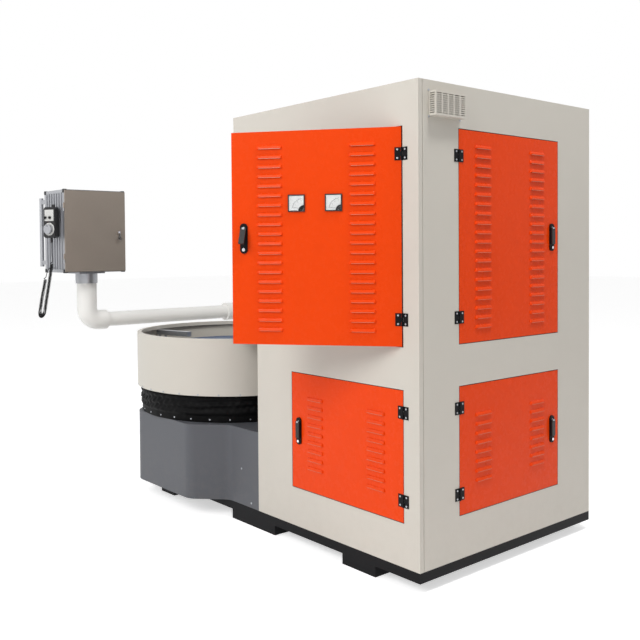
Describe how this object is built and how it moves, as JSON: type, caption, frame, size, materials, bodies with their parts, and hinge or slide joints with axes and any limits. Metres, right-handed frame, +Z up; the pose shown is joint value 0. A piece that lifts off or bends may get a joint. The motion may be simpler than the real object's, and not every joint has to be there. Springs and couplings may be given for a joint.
{
  "type": "rotary surface grinder",
  "caption": "Vertical spindle grinder with a rotary magnetic table, a traversing wheel column in a louvred cabinet and a swivelling control box on an arm.",
  "frame": {"origin": "on the rotary table's axis at the floor, at the centre of the middle levelling block", "axes": "+X from the table toward the cabinet along the column traverse, +Y away from the side with the meters, +Z up along the table axis"},
  "size_m": [3.4565, 2.0306, 2.446],
  "materials": {
    "black_paint": "satin",
    "cream_paint": "fine texture",
    "orange_paint": "fine texture",
    "grey_paint": "satin",
    "casting": "machined",
    "steel": "ground",
    "chuck": "ground",
    "abrasive": "coarse grit",
    "skirt": "matt pleats",
    "arm_plastic": "satin",
    "box_aluminium": "anodised",
    "box_door_paint": "brushed",
    "meter": "satin",
    "pendant_plastic": "satin",
    "dial_metal": "turned",
    "red_plastic": "gloss",
    "green_plastic": "gloss",
    "cord_rubber": "satin"
  },
  "bodies": {
    "machine": {"machine_bed": "black_paint", "levelling_blocks": "black_paint", "table_base_cover": "grey_paint", "table_pedestal": "casting", "splash_guard": "cream_paint", "coolant_pan": "cream_paint", "dust_skirt": "skirt", "coolant_manifold": "steel", "table_motor": "grey_paint", "cabinet_frame": "cream_paint", "front_panel": "cream_paint", "side_panel": "cream_paint", "rear_panel": "cream_paint", "left_panel": "cream_paint", "roof_panel": "cream_paint", "head_hood": "cream_paint", "exhaust_vent": "cream_paint", "cross_rails": "steel", "traverse_motor": "black_paint", "fixed_hinge_leaves": "black_paint", "pendant_arm": "arm_plastic"},
    "table": {"table_spindle": "casting", "bull_gear": "steel", "magnetic_chuck": "chuck"},
    "pinion": {"motor_pinion": "steel"},
    "traverse_screw": {"traverse_screw": "steel"},
    "column": {"wheel_column": "grey_paint", "feed_motor": "black_paint"},
    "feed_screw": {"feed_screw": "steel"},
    "head": {"wheel_head": "grey_paint"},
    "wheel": {"grinding_spindle": "steel", "grinding_wheel": "abrasive"},
    "box": {"control_box": "box_aluminium", "operator_panel": "box_aluminium", "handwheel_pendant": "pendant_plastic", "curly_cord": "cord_rubber"},
    "box_door": {"control_box_door": "box_door_paint"},
    "emergency_button": {"emergency_button": "red_plastic"},
    "start_button": {"start_button": "green_plastic"},
    "mode_selector": {"mode_selector": "pendant_plastic"},
    "dial": {"pendant_dial": "dial_metal"},
    "axis_knob": {"pendant_axis_knob": "pendant_plastic"},
    "rate_knob": {"pendant_rate_knob": "pendant_plastic"},
    "front_upper_door": {"front_upper_door": "orange_paint", "front_upper_hardware": "black_paint", "panel_meters": "meter"},
    "front_upper_cam": {"front_upper_latch_cam": "steel"},
    "front_upper_lever": {"front_upper_latch_lever": "black_paint"},
    "front_lower_door": {"front_lower_door": "orange_paint", "front_lower_hardware": "black_paint"},
    "front_lower_cam": {"front_lower_latch_cam": "steel"},
    "front_lower_lever": {"front_lower_latch_lever": "black_paint"},
    "side_upper_door": {"side_upper_door": "orange_paint", "side_upper_hardware": "black_paint"},
    "side_upper_cam": {"side_upper_latch_cam": "steel"},
    "side_upper_lever": {"side_upper_latch_lever": "black_paint"},
    "side_lower_door": {"side_lower_door": "orange_paint", "side_lower_hardware": "black_paint"},
    "side_lower_cam": {"side_lower_latch_cam": "steel"},
    "side_lower_lever": {"side_lower_latch_lever": "black_paint"}
  },
  "joints": [
    {"name": "table_turn", "type": "hinge", "parent": "machine", "child": "table", "pos_m": [0, 0, 0.5], "axis": [0, 0, 1], "continuous": true},
    {"name": "pinion_turn", "type": "hinge", "parent": "machine", "child": "pinion", "pos_m": [0.225, 0, 0.5], "axis": [0, 0, 1], "continuous": true},
    {"name": "column_traverse", "type": "slide", "parent": "machine", "child": "column", "axis": [-1, 0, 0], "range_m": [0, 0.64]},
    {"name": "traverse_screw_turn", "type": "hinge", "parent": "machine", "child": "traverse_screw", "pos_m": [0.9, 0, 0.622], "axis": [1, 0, 0], "continuous": true},
    {"name": "head_feed", "type": "slide", "parent": "column", "child": "head", "axis": [0, 0, -1], "range_m": [0, 0.15]},
    {"name": "feed_screw_turn", "type": "hinge", "parent": "column", "child": "feed_screw", "pos_m": [1.478, 0, 1.5], "axis": [0, 0, 1], "continuous": true},
    {"name": "wheel_turn", "type": "hinge", "parent": "head", "child": "wheel", "pos_m": [0.94, 0, 1.3], "axis": [0, 0, 1], "continuous": true},
    {"name": "box_swivel", "type": "hinge", "parent": "machine", "child": "box", "pos_m": [-1.015, -0.64, 1.45], "axis": [0, 0, 1], "range_deg": [-90, 90]},
    {"name": "box_door_hinge", "type": "hinge", "parent": "box", "child": "box_door", "pos_m": [-0.8415, -0.8888, 1.8], "axis": [0, 0, -1], "range_deg": [0, 120]},
    {"name": "emergency_press", "type": "slide", "parent": "box", "child": "emergency_button", "axis": [1, 0, 0], "range_m": [0, 0.005], "stiffness_N_per_m": 300},
    {"name": "start_press", "type": "slide", "parent": "box", "child": "start_button", "axis": [1, 0, 0], "range_m": [0, 0.005], "stiffness_N_per_m": 200},
    {"name": "mode_turn", "type": "hinge", "parent": "box", "child": "mode_selector", "pos_m": [-1.19, -0.758, 1.607], "axis": [1, 0, 0], "range_deg": [-60, 60]},
    {"name": "dial_turn", "type": "hinge", "parent": "box", "child": "dial", "pos_m": [-0.956, -0.9135, 1.808], "axis": [0.4226, -0.9063, 0], "continuous": true},
    {"name": "axis_knob_turn", "type": "hinge", "parent": "box", "child": "axis_knob", "pos_m": [-0.98319, -0.92618, 1.89], "axis": [0.4226, -0.9063, 0], "range_deg": [-60, 60]},
    {"name": "rate_knob_turn", "type": "hinge", "parent": "box", "child": "rate_knob", "pos_m": [-0.94694, -0.90927, 1.89], "axis": [0.4226, -0.9063, 0], "range_deg": [-60, 60]},
    {"name": "front_upper_hinge", "type": "hinge", "parent": "machine", "child": "front_upper_door", "pos_m": [2.012, -0.4545, 1.705], "axis": [0, 0, 1], "range_deg": [-38, 60]},
    {"name": "front_upper_cam_turn", "type": "hinge", "parent": "front_upper_door", "child": "front_upper_cam", "pos_m": [1.39064, -0.93425, 1.755], "axis": [-0.6157, 0.788, 0], "range_deg": [0, 90]},
    {"name": "front_upper_lever_lift", "type": "hinge", "parent": "front_upper_cam", "child": "front_upper_lever", "pos_m": [1.39864, -0.94449, 1.755], "axis": [-0.788, -0.6157, 0], "range_deg": [-30, 0]},
    {"name": "front_lower_hinge", "type": "hinge", "parent": "machine", "child": "front_lower_door", "pos_m": [2.012, -0.4545, 0.645], "axis": [0, 0, 1], "range_deg": [0, 98]},
    {"name": "front_lower_cam_turn", "type": "hinge", "parent": "front_lower_door", "child": "front_lower_cam", "pos_m": [1.227, -0.45, 0.695], "axis": [0, 1, 0], "range_deg": [0, 90]},
    {"name": "front_lower_lever_lift", "type": "hinge", "parent": "front_lower_cam", "child": "front_lower_lever", "pos_m": [1.227, -0.463, 0.695], "axis": [-1, 0, 0], "range_deg": [0, 30]},
    {"name": "side_upper_hinge", "type": "hinge", "parent": "machine", "child": "side_upper_door", "pos_m": [2.1195, -0.159, 1.705], "axis": [0, 0, -1], "range_deg": [0, 98]},
    {"name": "side_upper_cam_turn", "type": "hinge", "parent": "side_upper_door", "child": "side_upper_cam", "pos_m": [2.115, 0.626, 1.755], "axis": [1, 0, 0], "range_deg": [0, 90]},
    {"name": "side_upper_lever_lift", "type": "hinge", "parent": "side_upper_cam", "child": "side_upper_lever", "pos_m": [2.128, 0.626, 1.755], "axis": [0, -1, 0], "range_deg": [0, 30]},
    {"name": "side_lower_hinge", "type": "hinge", "parent": "machine", "child": "side_lower_door", "pos_m": [2.1195, -0.159, 0.645], "axis": [0, 0, -1], "range_deg": [0, 98]},
    {"name": "side_lower_cam_turn", "type": "hinge", "parent": "side_lower_door", "child": "side_lower_cam", "pos_m": [2.115, 0.626, 0.695], "axis": [1, 0, 0], "range_deg": [0, 90]},
    {"name": "side_lower_lever_lift", "type": "hinge", "parent": "side_lower_cam", "child": "side_lower_lever", "pos_m": [2.128, 0.626, 0.695], "axis": [0, -1, 0], "range_deg": [0, 30]}
  ],
  "couplings": [
    {"joint": "pinion_turn", "follows": "table_turn", "ratio": -4},
    {"joint": "traverse_screw_turn", "follows": "column_traverse", "rad_per_m": 628.32},
    {"joint": "feed_screw_turn", "follows": "head_feed", "rad_per_m": 628.32}
  ]
}
